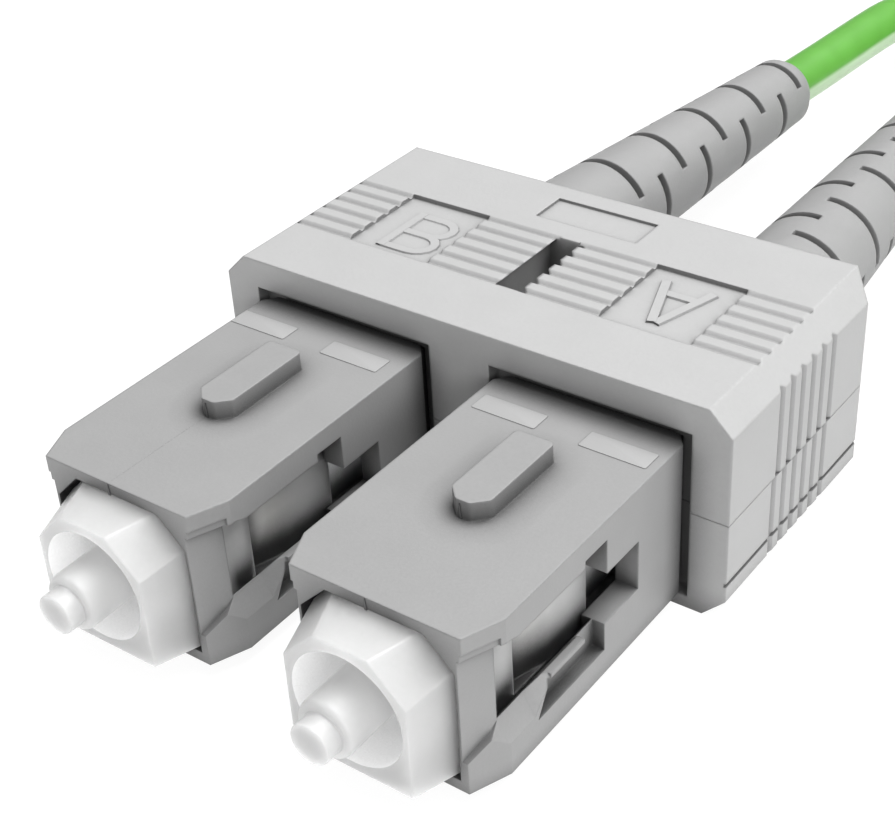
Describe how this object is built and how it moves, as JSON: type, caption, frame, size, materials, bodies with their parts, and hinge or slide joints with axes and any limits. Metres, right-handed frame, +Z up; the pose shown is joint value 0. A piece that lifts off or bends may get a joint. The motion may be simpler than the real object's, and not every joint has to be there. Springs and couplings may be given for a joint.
{
  "type": "fiber optic patch cord",
  "caption": "Duplex push-pull fibre plug pair in a snap-together clip with slotted strain reliefs, on a twin cord that is coiled, tied and ends in the same pair.",
  "frame": {"origin": "centre of the near plug pair's footprint, at the height of the clip's flat underside", "axes": "+X across the pair towards channel A, +Y from the ferrule tips towards the cord, +Z up"},
  "size_m": [0.0798, 0.1533, 0.0138],
  "materials": {
    "clip": "matte",
    "sleeve": "matte",
    "plug_frame": "satin",
    "ferrule": "gloss",
    "steel": "satin",
    "alloy": "satin",
    "crimp": "satin",
    "boot": "matte",
    "buffer": "matte",
    "jacket": "satin",
    "band": "matte",
    "strap": "matte"
  },
  "bodies": {
    "cord": {"clip_top": "clip", "clip_bottom": "clip", "sleeve_a": "sleeve", "sleeve_b": "sleeve", "far_clip_top": "clip", "far_clip_bottom": "clip", "far_sleeve_a": "sleeve", "far_sleeve_b": "sleeve", "leg_a": "jacket", "leg_b": "jacket", "cord_run": "jacket", "cord_coil": "jacket", "far_cord_run": "jacket", "far_leg_a": "jacket", "far_leg_b": "jacket", "split_band": "band", "far_split_band": "band", "coil_tie_rear": "strap", "coil_tie_front": "strap"},
    "plug_a": {"plug_frame_a": "plug_frame", "stop_body_a": "alloy", "crimp_ring_a": "crimp", "boot_a": "boot", "fibre_a": "buffer", "jacket_a": "jacket"},
    "tip_a": {"ferrule_a": "ferrule", "ferrule_flange_a": "steel", "ferrule_spring_a": "steel"},
    "plug_b": {"plug_frame_b": "plug_frame", "stop_body_b": "alloy", "crimp_ring_b": "crimp", "boot_b": "boot", "fibre_b": "buffer", "jacket_b": "jacket"},
    "tip_b": {"ferrule_b": "ferrule", "ferrule_flange_b": "steel", "ferrule_spring_b": "steel"},
    "far_plug_a": {"far_plug_frame_a": "plug_frame", "far_stop_body_a": "alloy", "far_crimp_ring_a": "crimp", "far_boot_a": "boot", "far_fibre_a": "buffer", "far_jacket_a": "jacket"},
    "far_tip_a": {"far_ferrule_a": "ferrule", "far_ferrule_flange_a": "steel", "far_ferrule_spring_a": "steel"},
    "far_plug_b": {"far_plug_frame_b": "plug_frame", "far_stop_body_b": "alloy", "far_crimp_ring_b": "crimp", "far_boot_b": "boot", "far_fibre_b": "buffer", "far_jacket_b": "jacket"},
    "far_tip_b": {"far_ferrule_b": "ferrule", "far_ferrule_flange_b": "steel", "far_ferrule_spring_b": "steel"}
  },
  "joints": [
    {"name": "coupling_slide_a", "type": "slide", "parent": "cord", "child": "plug_a", "axis": [0, 1, 0], "range_m": [-0.0008, 0.0012]},
    {"name": "ferrule_push_a", "type": "slide", "parent": "plug_a", "child": "tip_a", "axis": [0, 1, 0], "range_m": [0, 0.0012], "stiffness_N_per_m": 2500, "springref_m": -0.0003, "deforming": ["ferrule_spring_a"]},
    {"name": "coupling_slide_b", "type": "slide", "parent": "cord", "child": "plug_b", "axis": [0, 1, 0], "range_m": [-0.0008, 0.0012]},
    {"name": "ferrule_push_b", "type": "slide", "parent": "plug_b", "child": "tip_b", "axis": [0, 1, 0], "range_m": [0, 0.0012], "stiffness_N_per_m": 2500, "springref_m": -0.0003, "deforming": ["ferrule_spring_b"]},
    {"name": "far_coupling_slide_a", "type": "slide", "parent": "cord", "child": "far_plug_a", "axis": [0, 1, 0], "range_m": [-0.0008, 0.0012]},
    {"name": "far_ferrule_push_a", "type": "slide", "parent": "far_plug_a", "child": "far_tip_a", "axis": [0, 1, 0], "range_m": [0, 0.0012], "stiffness_N_per_m": 2500, "springref_m": -0.0003, "deforming": ["far_ferrule_spring_a"]},
    {"name": "far_coupling_slide_b", "type": "slide", "parent": "cord", "child": "far_plug_b", "axis": [0, 1, 0], "range_m": [-0.0008, 0.0012]},
    {"name": "far_ferrule_push_b", "type": "slide", "parent": "far_plug_b", "child": "far_tip_b", "axis": [0, 1, 0], "range_m": [0, 0.0012], "stiffness_N_per_m": 2500, "springref_m": -0.0003, "deforming": ["far_ferrule_spring_b"]}
  ]
}
